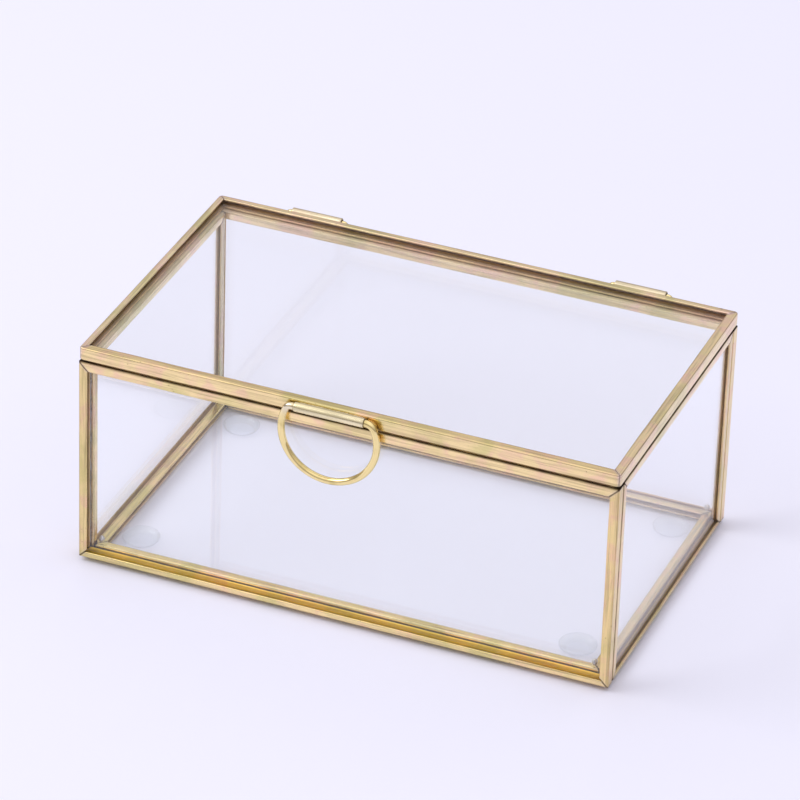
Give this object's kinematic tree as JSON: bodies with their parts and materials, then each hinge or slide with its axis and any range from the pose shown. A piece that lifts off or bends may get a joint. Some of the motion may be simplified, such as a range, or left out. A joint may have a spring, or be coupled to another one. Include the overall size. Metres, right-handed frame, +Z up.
{
  "type": "jewelry box",
  "caption": "Low rectangular clear-glass box in folded brass channel, with a hinged glass lid, a D-shaped pull ring on its front edge and clear round bumper feet.",
  "frame": {"origin": "on the table under the middle of the box, at the feet's soles", "axes": "+X along the box's length to the viewer's right when facing the pull ring, +Y from the pull ring side to the hinge side, +Z up"},
  "size_m": [0.14, 0.0904, 0.0612],
  "materials": {
    "brass": "drawn strip, lightly tarnished, satin",
    "clear_glass": "clear, polished",
    "clear_rubber": "clear, smooth",
    "solder": "bright tin solder, slightly grey"
  },
  "bodies": {
    "case": {"back_bottom_rail": "brass", "back_left_stile": "brass", "back_pane": "clear_glass", "back_right_stile": "brass", "back_top_rail": "brass", "bottom_back_rail": "brass", "bottom_front_rail": "brass", "bottom_left_rail": "brass", "bottom_pane": "clear_glass", "bottom_right_rail": "brass", "foot_back_left": "clear_rubber", "foot_back_right": "clear_rubber", "foot_front_left": "clear_rubber", "foot_front_right": "clear_rubber", "front_bottom_rail": "brass", "front_left_stile": "brass", "front_pane": "clear_glass", "front_right_stile": "brass", "front_top_rail": "brass", "hinge_pin_left": "brass", "hinge_pin_right": "brass", "left_back_stile": "brass", "left_bottom_rail": "brass", "left_front_stile": "brass", "left_pane": "clear_glass", "left_top_rail": "brass", "right_back_stile": "brass", "right_bottom_rail": "brass", "right_front_stile": "brass", "right_pane": "clear_glass", "right_top_rail": "brass", "solder_bead_back_left": "solder", "solder_bead_back_right": "solder", "solder_bead_front_left": "solder", "solder_bead_front_right": "solder"},
    "lid": {"handle_barrel": "brass", "hinge_barrel_left": "brass", "hinge_barrel_right": "brass", "lid_back_rail": "brass", "lid_front_rail": "brass", "lid_left_rail": "brass", "lid_pane": "clear_glass", "lid_right_rail": "brass"},
    "pull_ring": {"pull_ring": "brass"}
  },
  "joints": [
    {"name": "lid_hinge", "type": "hinge", "parent": "case", "child": "lid", "pos_m": [0, 0.04395, 0.06], "axis": [-1, 0, 0], "range_deg": [0, 180]},
    {"name": "ring_swing", "type": "hinge", "parent": "lid", "child": "pull_ring", "pos_m": [-0.0034, -0.04395, 0.06], "axis": [-1, 0, 0], "range_deg": [0, 205]}
  ]
}
